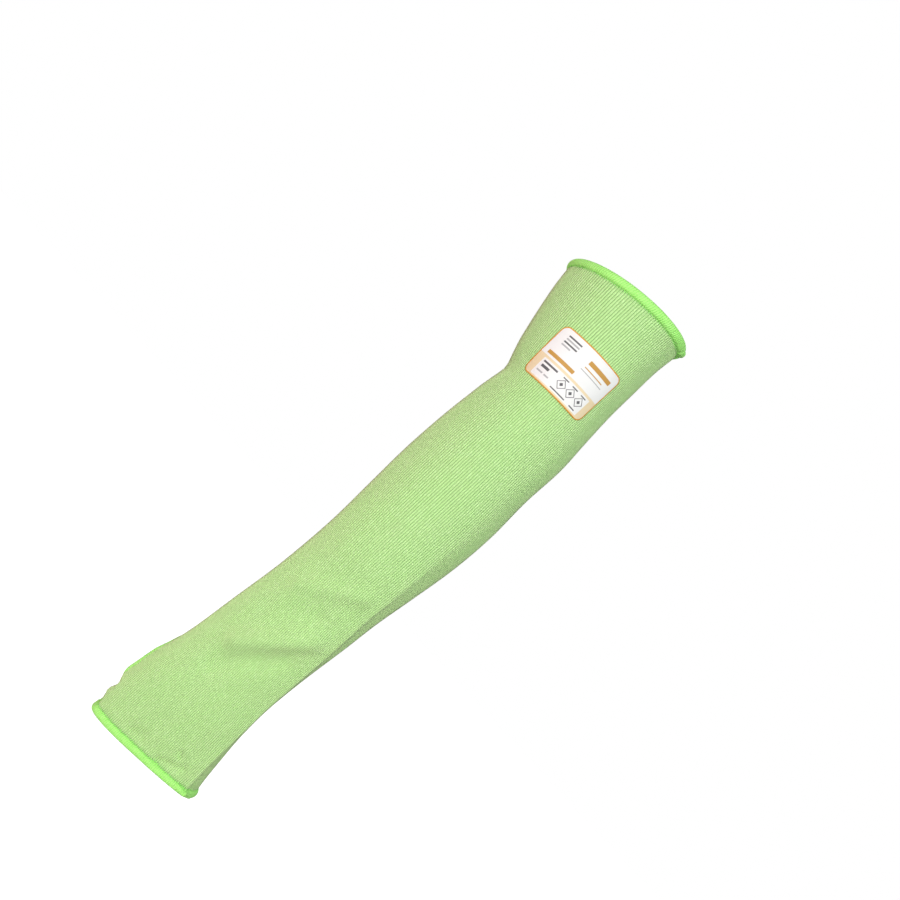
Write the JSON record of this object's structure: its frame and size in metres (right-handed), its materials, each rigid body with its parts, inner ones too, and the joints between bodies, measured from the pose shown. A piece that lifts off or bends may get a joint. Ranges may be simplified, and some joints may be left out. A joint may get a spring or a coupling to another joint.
{
  "type": "cut resistant sleeve",
  "caption": "Knitted tubular arm sleeve with overlocked hems at both ends, a thumb hole and a printed label, in the form it has on a bent left arm.",
  "frame": {"origin": "centre of the opening at the upper arm end", "axes": "+Z runs along the sleeve towards the shoulder, -X is the thumb side, -Y is the outer side of the arm with the label, +Y is the palm side"},
  "size_m": [0.1058, 0.0952, 0.4678],
  "materials": {
    "knit": "fine plain knit of bright lime yarn flecked with pale beige fibre, matt and slightly fuzzy",
    "hem_thread": "dense overlock stitching in bright green stretch thread, slightly satin",
    "label_print": "heat pressed print, thin and semi matt, that follows the knit under it"
  },
  "bodies": {
    "root": {"knit_sleeve": "knit", "upper_arm_hem": "hem_thread", "hand_hem": "hem_thread", "thumb_hole_hem": "hem_thread", "label": "label_print"}
  },
  "joints": []
}
